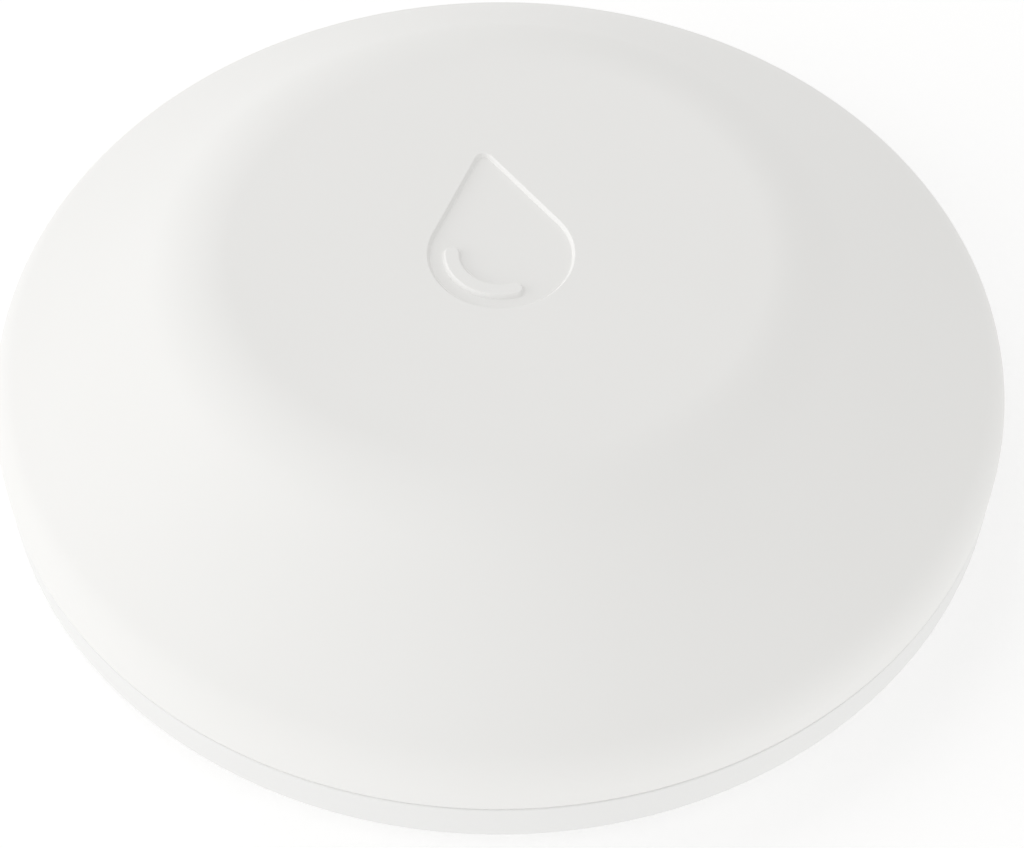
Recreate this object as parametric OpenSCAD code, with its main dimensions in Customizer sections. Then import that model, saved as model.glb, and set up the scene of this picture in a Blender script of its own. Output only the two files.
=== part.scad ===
// Water leak sensor: a low round puck with a drop symbol on top and sensing probes underneath.
// Millimetres, +Z up, origin on the floor at the centre of the underside.

/* [Cover] */
// Outer diameter of the cover
puck_d = 66; // [65:0.5:76]
// Height of the flat top above the cover's lower edge
cover_h = 12; // [11:0.1:15]
// Radius of the flat top
plateau_r = 16.8; // [14:0.1:18]
// Radius of the blend between the flat top and the cone
blend_r = 9.3; // [6:0.1:12]
// Radius of the rounded outer edge
rim_round_r = 3.5; // [3:0.1:5]
// Upright land below the rounded edge
rim_land_h = 1.2; // [0.8:0.1:1.6]
// Wall of the cover
cover_wall = 1.8; // [1.5:0.1:2]

/* [Drop symbol] */
// Depth of the drop below the flat top
drop_depth = 0.25; // [0.2:0.05:0.5]
// Radius of the drop's round end
drop_r = 4.5; // [3.5:0.1:5]
// Distance from the centre of the round end to the tip
drop_reach = 8.7; // [7.5:0.1:10]
// Rounding of the tip
drop_tip_r = 0.5; // [0.3:0.1:1]
// Place of the round end's centre along Y
drop_y = -0.9; // [-3:0.1:2]
// Inner radius of the raised glint
glint_r = 2.55; // [2:0.05:2.7]
// Width of the raised glint
glint_w = 1; // [0.5:0.05:1.1]
// Direction where the glint starts
glint_start = 171; // [160:1:190]
// Direction where the glint ends
glint_end = 279; // [260:1:300]
// Wall left between the drop and the light guide
lit_wall = 0.65; // [0.5:0.05:0.9]

/* [Base] */
// Height of the underside above the floor
foot_h = 0.5; // [0.3:0.1:1.5]
// Height of the base's outer wall
base_wall_h = 3.35; // [3.2:0.05:4.5]
// How far the base's wall stands back from the cover
base_inset = 0; // [0:0.1:1]
// Open line between the base and the cover
parting_gap = 0.25; // [0.1:0.05:0.4]
// Depth of that line, down to the step that carries the cover
parting_depth = 0.15; // [0.1:0.05:0.5]
// Thickness of the base's floor
base_floor_t = 2.2; // [2:0.1:2.6]
// Rounding of the base's lower edge
base_edge_r = 0.6; // [0.3:0.1:1.2]
// Height of the rim that stands up inside the cover
spigot_h = 1.9; // [1.7:0.1:2.2]
// Thickness of the rim that stands up inside the cover
spigot_t = 1.55; // [1.3:0.05:2]
// Gap between that rim and the cover
spigot_clear = 0.35; // [0.3:0.05:0.5]
// Section of the seal between base and cover
housing_seal_d = 1; // [0.9:0.05:1.1]

/* [Screws] */
// Radius of the screw posts in the cover
boss_r = 2.8; // [2.3:0.1:3.2]
// Distance from the screw posts to the rim inside the cover
boss_edge_gap = 1.5; // [1:0.1:2.5]
// Height of the base's share of a screw post
base_boss_h = 2.3; // [1.8:0.1:3]
// Radius of the cover screws' thread
screw_r = 1; // [0.8:0.05:1.2]
// Length of the cover screws' thread
screw_len = 6.8; // [5:0.1:7]
// Radius of the cover screws' head
screw_head_r = 2; // [1.7:0.1:2.1]
// Height of the cover screws' head
screw_head_h = 1.2; // [0.9:0.1:1.3]
// Depth of the head's seat in the underside
screw_seat_h = 1.5; // [1.4:0.1:1.6]
// Radius of the board's posts
post_r = 2.2; // [1.8:0.1:2.6]
// Gap between the board's posts and the battery collar
post_gap = 1; // [0.6:0.1:1.6]
// Radius of the board screws' thread
board_screw_r = 0.8; // [0.6:0.05:1]
// Length of the board screws' thread below the board
board_screw_len = 3.5; // [2.5:0.1:4.5]
// Radius of the board screws' head
board_head_r = 1.5; // [1.3:0.1:1.8]
// Height of the board screws' head
board_head_h = 0.8; // [0.6:0.1:1]

/* [Battery bay] */
// Diameter of the coin cell
cell_d = 24.5; // [20:0.1:25]
// Thickness of the coin cell
cell_t = 5; // [4.5:0.1:5.4]
// How far the cell stands above the door's skirt
cell_proud = 1.7; // [1.4:0.1:2]
// Gap round the cell in the door's skirt
cell_clear = 0.35; // [0.2:0.05:0.6]
// Thickness of the door's disc
door_t = 1.8; // [1.7:0.1:2.1]
// Width of the door's flange outside its pins
door_flange_w = 1.9; // [1.8:0.1:2.4]
// Thickness of the door's skirt
skirt_t = 1.4; // [1.2:0.1:1.8]
// Radius of the door's pins
pin_r = 0.8; // [0.6:0.05:0.9]
// How far the pins stand out of the skirt
pin_reach = 1; // [0.8:0.1:1.2]
// Distance from the pins to the top of the skirt
pin_drop = 0.9; // [0.8:0.1:1.2]
// Quarter turn that frees the door
door_turn = 90; // [80:1:95]
// Gap round the turning door
turn_clear = 0.2; // [0.15:0.05:0.35]
// Gap round the pins in their grooves
groove_clear = 0.3; // [0.2:0.05:0.4]
// Wall of the collar outside the door's seat
collar_wall = 1.2; // [1:0.1:1.6]
// Wall of the collar above the grooves
collar_top_wall = 0.7; // [0.5:0.1:1]
// Gap between the door's flange and its seat
seat_gap = 0.15; // [0.1:0.05:0.2]
// Section of the door's seal
door_seal_d = 0.85; // [0.7:0.05:0.95]
// Length of the coin slot
slot_len = 15; // [10:0.5:18]
// Width of the coin slot
slot_w = 2.4; // [1.8:0.1:3]
// Depth of the coin slot
slot_depth = 1; // [0.6:0.1:1.2]
// Space for the contact spring above the cell
contact_space = 0.85; // [0.8:0.05:1.2]
// Sheet thickness of the battery contacts
contact_t = 0.2; // [0.15:0.05:0.25]

/* [Probes, feet and button] */
// Radius of a probe's shank
probe_r = 1; // [0.8:0.1:1.2]
// Radius of a probe's head
probe_head_r = 2.2; // [2:0.1:2.6]
// Height of a probe's tip above the floor
probe_lift = 0.1; // [0.05:0.05:0.2]
// Length of a probe's shank above the underside
probe_len = 4; // [3.5:0.1:4.5]
// Section of a probe's seal
probe_seal_d = 0.7; // [0.5:0.05:0.8]
// Wire radius of a probe's spring
spring_wire_r = 0.2; // [0.15:0.01:0.25]
// Turns of a probe's spring
spring_turns = 3; // [3:1:5]
// Radius of a foot
foot_r = 3; // [2.5:0.1:3.5]
// Depth of a foot's recess in the underside
foot_seat = 0.6; // [0.4:0.1:1]
// Distance from the feet to the base's edge
foot_edge = 2.8; // [2:0.1:4]
// Radius of the push button
button_r = 3; // [2.6:0.1:3.4]
// How far the button lies back from the underside
button_recess = 0.2; // [0.1:0.1:0.4]
// Thickness of the button's flange
button_flange_t = 0.8; // [0.6:0.1:1]
// Width of the button's flange outside its face
button_flange_w = 0.6; // [0.5:0.1:0.8]
// Travel of the button
button_travel = 0.3; // [0.2:0.05:0.4]
// Section of the button's seal
button_seal_d = 0.55; // [0.5:0.05:0.6]

/* [Electronics] */
// Thickness of the circuit board
board_t = 1; // [0.8:0.1:1.2]
// Gap between the board's edge and the cover
board_clear = 0.6; // [0.5:0.1:1]
// Radius of the buzzer
buzzer_r = 3.7; // [3.2:0.1:3.8]
// Height of the buzzer
buzzer_h = 3.8; // [3:0.1:4]
// Gap between the buzzer and the battery collar
buzzer_gap = 0.3; // [0.2:0.1:0.6]
// Radius of a sound hole
sound_hole_r = 0.5; // [0.3:0.05:0.6]
// Thickness of the sound film
film_t = 0.2; // [0.1:0.05:0.3]
// Width of the switch
switch_w = 4.5; // [4:0.1:6]
// Height of the switch
switch_h = 3; // [2.6:0.1:3.2]
// Radius of the switch's plunger
plunger_r = 1.2; // [1:0.1:1.6]
// How far the plunger stands out of the switch
plunger_out = 0.7; // [0.6:0.1:0.9]
// Height of the status lamp
led_h = 0.7; // [0.5:0.1:0.9]
// Radius of the light guide's stem
guide_stem_r = 1.6; // [1.2:0.1:2]
// Thickness of the light guide's plate
guide_plate_t = 1.15; // [0.9:0.05:1.4]
// How far the light guide reaches past the drop
guide_margin = 0.6; // [0.3:0.1:0.9]
// Width of the radio module
radio_w = 12; // [10:0.5:13]
// Length of the radio module
radio_len = 14; // [12:0.5:15]
// Height of the radio's shield
shield_h = 1.6; // [1.2:0.1:2]
// Wall of the radio's shield
shield_wall = 0.2; // [0.15:0.05:0.3]

/* [Hidden] */
$fn = 64;

// Gap left between pieces that touch, and the overshoot of a cut
touch = 0.05;
cut = 0.5;
// Gaps round a shank in its hole, a foot in its recess, and a screw that runs free
hole_clear = 0.05;
foot_clear = 0.1;
free_clear = 0.15;
// Gap round a screw's head in its seat
head_clear = 0.2;

// Directions of the pieces that share the ring round the battery bay
sound_dir = 0;
button_dir = 180;
probe_dirs = [60, 120, 240, 300];
boss_dirs = [90, 210, 330];
post_dirs = [30, 150, 270];
pin_dirs = [30, 150, 270];
mark_dir = 270;

// Sides of a round, from the widest to the seals' sections
wide_sides = 180;
disc_sides = 120;
seal_sides = 24;

// Heights, from the floor up
under_z = foot_h;
floor_z = under_z + base_floor_t;
shoulder_z = under_z + base_wall_h;
rim_z = shoulder_z + parting_gap;
top_z = rim_z + cover_h;
ceiling_z = top_z - cover_wall;
boss_z = floor_z + base_boss_h;
screw_top_z = under_z + screw_seat_h + screw_len;
door_top_z = under_z + door_t;
seat_z = door_top_z + seat_gap;
skirt_top_z = door_top_z + cell_t - cell_proud;
pin_z = skirt_top_z - pin_drop;
cell_z = door_top_z + touch;
cell_top_z = cell_z + cell_t;
board_z = cell_top_z + contact_space;
board_top_z = board_z + board_t;
switch_z = board_z - switch_h;
plunger_z = switch_z - plunger_out;
buzzer_z = board_z - buzzer_h;
groove_half_h = pin_r + groove_clear;

// Depth that the door comes down in its turn, until its pins leave the collar
exit_clear = 0.35;
door_drop = pin_z + pin_r + exit_clear - seat_z;

// Cover's section: two arcs and the straight line that touches both
puck_r = puck_d / 2;
blend_c = [plateau_r, top_z - blend_r];
rim_c = [puck_r - rim_round_r, rim_z + rim_land_h];
arc_gap = rim_c - blend_c;
slope = atan2(-arc_gap[1], arc_gap[0]) + asin((blend_r - rim_round_r) / norm(arc_gap));
slope_n = [sin(slope), cos(slope)];

// Inner radius of the cover's cone at a height
function cone_r(z) = (slope_n * blend_c + blend_r - cover_wall - slope_n[1] * z) / slope_n[0];

// Radii, from the middle out
cell_r = cell_d / 2;
skirt_in_r = cell_r + cell_clear;
skirt_r = skirt_in_r + skirt_t;
collar_in_r = skirt_r + turn_clear;
pin_tip_r = skirt_r + pin_reach;
groove_r = pin_tip_r + groove_clear;
door_r = pin_tip_r + door_flange_w;
seat_r = door_r + turn_clear;
collar_r = seat_r + collar_wall;
door_seal_r = (groove_r + door_r) / 2;
collar_top_z = pin_z + groove_half_h + collar_top_wall;
post_ring_r = collar_r + post_gap + post_r;
board_r = cone_r(board_top_z) - board_clear;
probe_board_edge = 2.2;
probe_ring_r = board_r - probe_board_edge;
sound_ring_r = collar_r + buzzer_gap + buzzer_r;
base_r = puck_r - base_inset;
cover_in_r = puck_r - cover_wall;
spigot_r = cover_in_r - spigot_clear;
spigot_in_r = spigot_r - spigot_t;
spigot_top_z = shoulder_z + spigot_h;
button_ring_r = (collar_r + spigot_in_r) / 2;
boss_ring_r = spigot_in_r - boss_edge_gap - boss_r;
foot_ring_r = base_r - foot_edge - foot_r;
housing_seal_r = cover_in_r - touch - housing_seal_d / 2;
housing_seal_z = shoulder_z + spigot_h / 2;

// Points along an arc, both ends included, and the same arc without its ends
function arc_point(c, r, a) = c + r * [cos(a), sin(a)];
function arc(c, r, from, to, n) = [for (i = [0:n]) arc_point(c, r, from + (to - from) * i / n)];
function open_arc(c, r, from, to, n) = [for (i = [1:n - 1]) arc_point(c, r, from + (to - from) * i / n)];

// Steps in an arc of a section and in a small round end
arc_steps = 14;
end_steps = 8;

module place(r, dirs) {
    for (dir = dirs)
        rotate(dir)
            translate([r, 0, 0])
                children();
}

module tube(outer_r, inner_r, h) {
    difference() {
        cylinder(r = outer_r, h = h);
        translate([0, 0, -cut])
            cylinder(r = inner_r, h = h + 2 * cut);
    }
}

module ring(r, section) {
    rotate_extrude()
        translate([r, 0])
            circle(d = section, $fn = seal_sides);
}

// Solid inside the cover's outer face, or that solid shrunk by a wall
module cover_form(inset, low_z) {
    rotate_extrude($fn = wide_sides)
        polygon(concat([[0, low_z], [0, top_z - inset]],
            arc(blend_c, blend_r - inset, 90, 90 - slope, arc_steps),
            arc(rim_c, rim_round_r - inset, 90 - slope, 0, arc_steps),
            [[puck_r - inset, low_z]]));
}

// Drop outline: a large arc, a small arc at the tip and the lines that touch both
function drop_points(grow) =
    let (r = drop_r + grow,
        tip_r = drop_tip_r + grow,
        reach = drop_reach - drop_tip_r,
        lean = asin((r - tip_r) / reach))
    concat(arc([0, 0], r, lean, -180 - lean, 4 * arc_steps),
        arc([0, reach], tip_r, 180 - lean, lean, end_steps));

// Glint outline: a bent bar with round ends
function glint_points() =
    let (half = glint_w / 2,
        start_c = arc_point([0, 0], glint_r + half, glint_start),
        end_c = arc_point([0, 0], glint_r + half, glint_end))
    concat(arc([0, 0], glint_r + glint_w, glint_start, glint_end, 2 * arc_steps),
        open_arc(end_c, half, glint_end, glint_end + 180, end_steps),
        arc([0, 0], glint_r, glint_end, glint_start, 2 * arc_steps),
        open_arc(start_c, half, glint_start + 180, glint_start + 360, end_steps));

// Slot outline: a straight bar with round ends
function slot_points(len, w) = concat(
    arc([(len - w) / 2, 0], w / 2, -90, 90, end_steps),
    arc([(w - len) / 2, 0], w / 2, 90, 270, end_steps));

// Faces of a tube of n-sided rings, with both ends closed
function tube_faces(rings, n) =
    let (last = (rings - 1) * n)
    concat(
        [for (k = [0:n:last - n], i = [0:n - 1]) [k + i, k + (i + 1) % n, k + n + i]],
        [for (k = [0:n:last - n], i = [0:n - 1]) [k + (i + 1) % n, k + n + (i + 1) % n, k + n + i]],
        [for (i = [1:n - 2]) [0, i + 1, i]],
        [for (i = [1:n - 2]) [last, last + i, last + i + 1]]);

module top_cover() {
    color("#f1f0ed")
        difference() {
            union() {
                difference() {
                    cover_form(0, rim_z);
                    cover_form(cover_wall, rim_z - cut);
                }
                intersection() {
                    place(boss_ring_r, boss_dirs)
                        translate([0, 0, boss_z])
                            cylinder(r = boss_r, h = top_z - boss_z);
                    cover_form(cover_wall / 2, rim_z);
                }
            }
            place(boss_ring_r, boss_dirs)
                translate([0, 0, boss_z - cut])
                    cylinder(r = screw_r + hole_clear, h = screw_top_z - boss_z + 2 * cut);
            translate([0, drop_y, top_z - drop_depth])
                linear_extrude(drop_depth + cut)
                    difference() {
                        polygon(drop_points(0));
                        polygon(glint_points());
                    }
            translate([0, drop_y, ceiling_z - cut])
                linear_extrude(cover_wall + cut - drop_depth - lit_wall)
                    polygon(drop_points(guide_margin + touch));
        }
}

// Slanted groove that one pin of the door runs down, from its rest to the collar's lower face
groove_step = 5;
groove_lead = asin(groove_half_h / collar_in_r);
module pin_groove() {
    low_r = collar_in_r - cut;
    turns = [for (a = [-groove_lead:groove_step:door_turn + groove_lead + groove_step]) a];
    points = [for (a = turns)
        let (z = pin_z - door_drop * a / door_turn)
        for (p = [[low_r, 1], [groove_r, 1], [groove_r, -1], [low_r, -1]])
            [p[0] * cos(-a), p[0] * sin(-a), z + p[1] * groove_half_h]];
    polyhedron(points, tube_faces(len(turns), 4));
}

// Solid form of the base, before its holes
probe_boss_h = 0.8;
probe_boss_z = floor_z + probe_boss_h;
module base_body() {
    rotate_extrude($fn = wide_sides)
        polygon(concat([[0, under_z]],
            arc([base_r - base_edge_r, under_z + base_edge_r], base_edge_r, -90, 0, end_steps),
            [[base_r, shoulder_z], [base_r - parting_depth, shoulder_z]],
            [[base_r - parting_depth, rim_z - touch], [spigot_r, rim_z - touch], [spigot_r, spigot_top_z]],
            [[spigot_in_r, spigot_top_z], [spigot_in_r, floor_z], [0, floor_z]]));
    translate([0, 0, seat_z])
        cylinder(r = collar_r, h = collar_top_z - seat_z);
    place(boss_ring_r, boss_dirs)
        translate([0, 0, under_z + screw_seat_h])
            cylinder(r = boss_r, h = boss_z - under_z - screw_seat_h);
    place(post_ring_r, post_dirs)
        translate([0, 0, under_z + foot_seat])
            cylinder(r = post_r, h = board_z - under_z - foot_seat);
    place(probe_ring_r, probe_dirs)
        translate([0, 0, under_z + cut])
            cylinder(r = probe_head_r, h = probe_boss_z - under_z - cut);
}

mark_r = 0.6;
mark_gap = 0.4;
mark_depth = 0.25;
probe_seal_seat_r = probe_r + probe_seal_d + touch;
sound_holes = 6;
sound_pitch = 1.6;
module base() {
    color("#efeeeb")
        difference() {
            base_body();
            translate([0, 0, under_z - cut])
                cylinder(r = seat_r, h = seat_z - under_z + cut);
            cylinder(r = collar_in_r, h = collar_top_z + cut);
            for (dir = pin_dirs)
                rotate(dir)
                    pin_groove();
            translate([0, 0, housing_seal_z - housing_seal_d / 2 - touch])
                tube(puck_r, housing_seal_r - housing_seal_d / 2 - touch, housing_seal_d + 2 * touch);
            place(boss_ring_r, boss_dirs) {
                translate([0, 0, under_z - cut])
                    cylinder(r = screw_head_r + head_clear, h = screw_seat_h + cut);
                cylinder(r = screw_r + free_clear, h = boss_z + cut);
            }
            place(post_ring_r, post_dirs)
                translate([0, 0, board_z - board_screw_len - cut])
                    cylinder(r = board_screw_r + hole_clear, h = board_screw_len + 2 * cut);
            place(foot_ring_r, post_dirs)
                translate([0, 0, under_z - cut])
                    cylinder(r = foot_r + foot_clear, h = foot_seat + cut);
            place(probe_ring_r, probe_dirs) {
                cylinder(r = probe_r + hole_clear, h = probe_boss_z + cut);
                translate([0, 0, under_z - cut])
                    cylinder(r = probe_seal_seat_r, h = probe_seal_d + 2 * touch + cut);
            }
            place(button_ring_r, [button_dir])
                cylinder(r = button_r + turn_clear, h = floor_z + cut);
            place(sound_ring_r, [sound_dir]) {
                cylinder(r = sound_hole_r, h = floor_z + cut);
                place(sound_pitch, [for (i = [1:sound_holes]) i * 360 / sound_holes])
                    cylinder(r = sound_hole_r, h = floor_z + cut);
            }
            place(seat_r + mark_gap + mark_r, [mark_dir, mark_dir - door_turn])
                translate([0, 0, under_z - cut])
                    cylinder(r = mark_r, h = mark_depth + cut);
        }
}

module housing_seal() {
    color("#9aa4a8")
        translate([0, 0, housing_seal_z])
            ring(housing_seal_r, housing_seal_d);
}

// Screw with its head at the bottom and a cross cut into it; shares of the head's and thread's sizes
head_face = 0.8;
head_edge = 0.35;
cross_w = 0.25;
cross_len = 1.2;
cross_depth = 0.5;
thread_tip = 0.3;
module screw(thread_r, len, head_r, head_h) {
    top = head_h + len;
    difference() {
        rotate_extrude()
            polygon([[0, 0], [head_r * head_face, 0], [head_r, head_h * head_edge], [head_r, head_h],
                [thread_r, head_h], [thread_r, top - thread_r], [thread_r * thread_tip, top], [0, top]]);
        for (turn = [0, 90])
            rotate(turn)
                translate([-head_r * cross_len / 2, -head_r * cross_w / 2, -cut])
                    cube([head_r * cross_len, head_r * cross_w, head_h * cross_depth + cut]);
    }
}

module cover_screws() {
    color("#b9bdc1")
        place(boss_ring_r, boss_dirs)
            translate([0, 0, under_z + screw_seat_h - screw_head_h])
                screw(screw_r, screw_len, screw_head_r, screw_head_h);
}

foot_edge_r = 0.3;
module feet() {
    color("#8f9396")
        place(foot_ring_r, post_dirs)
            rotate_extrude()
                polygon(concat([[0, 0]],
                    arc([foot_r - foot_edge_r, foot_edge_r], foot_edge_r, -90, 0, end_steps),
                    [[foot_r, foot_h + foot_seat], [0, foot_h + foot_seat]]));
}

probe_edge = 0.25;
probe_pip_r = 0.75;
probe_pip_h = 0.8;
probe_top_z = under_z + probe_len;
module sensing_probes() {
    color("#d8b45a")
        place(probe_ring_r, probe_dirs)
            rotate_extrude()
                polygon([[0, probe_lift], [probe_head_r - probe_edge, probe_lift],
                    [probe_head_r, probe_lift + probe_edge], [probe_head_r, under_z], [probe_r, under_z],
                    [probe_r, probe_top_z], [probe_pip_r, probe_top_z],
                    [probe_pip_r, probe_top_z + probe_pip_h], [0, probe_top_z + probe_pip_h]]);
}

module probe_seals() {
    color("#3a3d40")
        place(probe_ring_r, probe_dirs)
            translate([0, 0, under_z + touch + probe_seal_d / 2])
                ring(probe_r + touch / 2 + probe_seal_d / 2, probe_seal_d);
}

spring_sides = 6;
spring_rings = 8;
spring_pip_gap = 0.1;
spring_r = probe_pip_r + spring_wire_r + spring_pip_gap;
module coil(low_z, high_z) {
    count = spring_turns * spring_rings;
    rise = high_z - low_z - 2 * spring_wire_r;
    points = [for (k = [0:count], i = [0:spring_sides - 1])
        let (a = 360 * k / spring_rings, b = 360 * i / spring_sides, r = spring_r + spring_wire_r * cos(b))
            [r * cos(a), r * sin(a), low_z + spring_wire_r + rise * k / count + spring_wire_r * sin(b)]];
    polyhedron(points, tube_faces(count + 1, spring_sides));
}

module probe_springs() {
    color("#c7cacc")
        place(probe_ring_r, probe_dirs)
            coil(probe_top_z + touch, board_z - touch);
}

notch_clear = 0.5;
module circuit_board() {
    color("#1f6b45")
        translate([0, 0, board_z])
            difference() {
                cylinder(r = board_r, h = board_t, $fn = disc_sides);
                place(boss_ring_r, boss_dirs)
                    translate([0, 0, -cut])
                        cylinder(r = boss_r + notch_clear, h = board_t + 2 * cut);
                place(boss_ring_r, boss_dirs)
                    translate([0, -boss_r - notch_clear, -cut])
                        cube([boss_ring_r, 2 * (boss_r + notch_clear), board_t + 2 * cut]);
                place(post_ring_r, post_dirs)
                    translate([0, 0, -cut])
                        cylinder(r = board_screw_r + free_clear, h = board_t + 2 * cut);
            }
}

module board_screws() {
    color("#c2c5c8")
        place(post_ring_r, post_dirs)
            translate([0, 0, board_top_z + board_head_h])
                mirror([0, 0, 1])
                    screw(board_screw_r, board_t + board_screw_len, board_head_r, board_head_h);
}

// Plain block standing on the board, placed by the middle of its foot
module chip(at, size) {
    translate([at[0] - size[0] / 2, at[1] - size[1] / 2, board_top_z])
        cube(size);
}

radio_board_t = 0.8;
radio_gap = 1.6;
radio_y = boss_ring_r - boss_r - radio_gap - radio_len / 2;
module radio_module() {
    color("#24506e")
        chip([0, radio_y], [radio_w, radio_len, radio_board_t]);
}

shield_margin = 0.6;
shield_open_end = 4;
shield_len = radio_len - shield_open_end;

module radio_shield() {
    w = radio_w - 2 * shield_margin;
    low_y = radio_y - radio_len / 2 + shield_margin;
    color("#c9ccce")
        translate([-w / 2, low_y, board_top_z + radio_board_t])
            difference() {
                cube([w, shield_len, shield_h]);
                translate([shield_wall, shield_wall, -cut])
                    cube([w - 2 * shield_wall, shield_len - 2 * shield_wall, shield_h - shield_wall + cut]);
            }
}

// Upright sheet with a foot at its end and a second one beside it
antenna_inset = 5.5;
antenna_t = 0.3;
antenna_low = 0.8;
antenna_h = 2;
antenna_len = 16;
antenna_leg_w = 1.5;
antenna_leg_y = 4.5;
module antenna() {
    color("#d4d0c0")
        translate([board_r - antenna_inset, -antenna_len / 2, board_top_z])
            rotate([90, 0, 90])
                linear_extrude(antenna_t)
                    polygon([[0, 0], [antenna_leg_w, 0], [antenna_leg_w, antenna_low],
                        [antenna_leg_y, antenna_low], [antenna_leg_y, 0], [antenna_leg_y + antenna_leg_w, 0],
                        [antenna_leg_y + antenna_leg_w, antenna_low], [antenna_len, antenna_low],
                        [antenna_len, antenna_h], [0, antenna_h]]);
}

controller_at = [-12, -6];
controller_size = [6, 6, 0.9];
module controller_chip() {
    color("#2b2c2e")
        chip(controller_at, controller_size);
}

crystal_at = [-12, 1.5];
crystal_size = [3.2, 2.5, 0.8];
module crystal() {
    color("#c5c7c9")
        chip(crystal_at, crystal_size);
}

// One storage capacitor and a row of small ones
storage_at = [11, -10];
storage_size = [4.3, 7.3, 2.6];
filter_at = [-6.5, -13];
filter_size = [1.2, 2, 1];
filter_pitch = 2.6;
filter_count = 4;
module capacitors() {
    color("#b08a52") {
        chip(storage_at, storage_size);
        for (i = [0:filter_count - 1])
            chip(filter_at + [i * filter_pitch, 0], filter_size);
    }
}

resistor_at = [-8.8, -16.6];
resistor_size = [0.8, 1.6, 0.5];
resistor_pitch = 2.2;
resistor_count = 6;
module resistors() {
    color("#1d1e20")
        for (i = [0:resistor_count - 1])
            chip(resistor_at + [i * resistor_pitch, 0], resistor_size);
}

led_w = 2.2;
led_lens_r = 0.9;
led_lens_h = 0.2;
module status_led() {
    color("#f3efd8") {
        chip([0, drop_y], [led_w, led_w, led_h - led_lens_h]);
        translate([0, drop_y, board_top_z])
            cylinder(r = led_lens_r, h = led_h);
    }
}

guide_gap = 0.3;
guide_low_z = board_top_z + led_h + guide_gap;
guide_top_z = top_z - drop_depth - lit_wall - touch;
guide_plate_z = guide_top_z - guide_plate_t;
guide_flare_inset = 0.6;
guide_flare_r = drop_r - guide_flare_inset;
guide_flare_h = 2;
module light_guide() {
    color("#e9edf0")
        translate([0, drop_y, 0]) {
            translate([0, 0, guide_plate_z])
                linear_extrude(guide_plate_t)
                    polygon(drop_points(guide_margin));
            translate([0, 0, guide_low_z])
                cylinder(r = guide_stem_r, h = guide_plate_z - guide_low_z + cut);
            translate([0, 0, guide_plate_z - guide_flare_h])
                cylinder(r1 = guide_stem_r, r2 = guide_flare_r, h = guide_flare_h + cut / 2);
        }
}

buzzer_mouth_r = 1.1;
buzzer_mouth_h = 1;
module buzzer() {
    color("#26282a")
        place(sound_ring_r, [sound_dir])
            translate([0, 0, buzzer_z])
                difference() {
                    cylinder(r = buzzer_r, h = buzzer_h);
                    translate([0, 0, -cut])
                        cylinder(r = buzzer_mouth_r, h = buzzer_mouth_h + cut);
                }
}

gasket_wall = 1.1;
gasket_inset = 0.2;
film_r = buzzer_r - gasket_inset;
module sound_membrane() {
    color("#f4f4f2")
        place(sound_ring_r, [sound_dir])
            translate([0, 0, floor_z])
                cylinder(r = film_r, h = film_t);
}

module buzzer_gasket() {
    color("#55585b")
        place(sound_ring_r, [sound_dir])
            translate([0, 0, floor_z + film_t])
                tube(film_r, film_r - gasket_wall, buzzer_z - floor_z - film_t);
}

contact_dir = 120;
contact_span = 40;
contact_foot = 3;
contact_skirt_gap = 0.35;
contact_cell_gap = 0.07;
module positive_contact() {
    low_r = cell_r + contact_cell_gap;
    low_z = skirt_top_z + contact_skirt_gap;
    color("#cfd2d4")
        rotate(contact_dir)
            rotate_extrude(angle = contact_span)
                polygon([[low_r, low_z], [low_r + contact_t, low_z],
                    [low_r + contact_t, board_z - contact_t], [low_r + contact_foot, board_z - contact_t],
                    [low_r + contact_foot, board_z], [low_r, board_z]]);
}

finger_w = 4;
finger_pad = 4;
finger_len = 4;
finger_lip = 1.5;
module negative_contact() {
    low_z = cell_top_z + touch;
    tip = finger_len + finger_lip;
    color("#cfd2d4")
        translate([0, finger_w / 2, 0])
            rotate([90, 0, 0])
                linear_extrude(finger_w)
                    polygon([[-finger_pad, board_z], [0, board_z], [finger_len, low_z + contact_t],
                        [tip, low_z + 2 * contact_t], [tip, low_z + contact_t], [finger_len, low_z],
                        [0, board_z - contact_t], [-finger_pad, board_z - contact_t]]);
}

plunger_in = 1;
module switch_body() {
    bore_h = plunger_in + 2 * button_travel;
    color("#2a2b2d")
        place(button_ring_r, [button_dir])
            translate([0, 0, switch_z])
                difference() {
                    translate([-switch_w / 2, -switch_w / 2, 0])
                        cube([switch_w, switch_w, switch_h]);
                    translate([0, 0, -cut])
                        cylinder(r = plunger_r + hole_clear, h = bore_h + cut);
                }
}

module switch_plunger() {
    color("#e8e4d8")
        place(button_ring_r, [button_dir])
            translate([0, 0, plunger_z])
                cylinder(r = plunger_r, h = plunger_out + plunger_in);
}

button_stem_r = 1.2;
button_dish_r = 2.1;
button_dish_h = 0.25;
button_low_z = under_z + button_recess;
button_seal_z = under_z + base_floor_t / 2;
button_seal_r = button_r + turn_clear - touch - button_seal_d / 2;
button_groove_r = button_seal_r - button_seal_d / 2 - touch;
module setup_button() {
    color("#dfdedb")
        place(button_ring_r, [button_dir])
            difference() {
                union() {
                    translate([0, 0, button_low_z])
                        cylinder(r = button_r, h = floor_z + touch - button_low_z + cut);
                    translate([0, 0, floor_z + touch])
                        cylinder(r = button_r + button_flange_w, h = button_flange_t);
                    translate([0, 0, floor_z])
                        cylinder(r = button_stem_r, h = plunger_z - touch - floor_z);
                }
                translate([0, 0, button_low_z - cut])
                    cylinder(r = button_dish_r, h = button_dish_h + cut);
                translate([0, 0, button_seal_z - button_seal_d / 2 - touch])
                    tube(button_r + cut, button_groove_r, button_seal_d + 2 * touch);
            }
}

module button_seal() {
    color("#3a3d40")
        place(button_ring_r, [button_dir])
            translate([0, 0, button_seal_z])
                ring(button_seal_r, button_seal_d);
}

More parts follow.
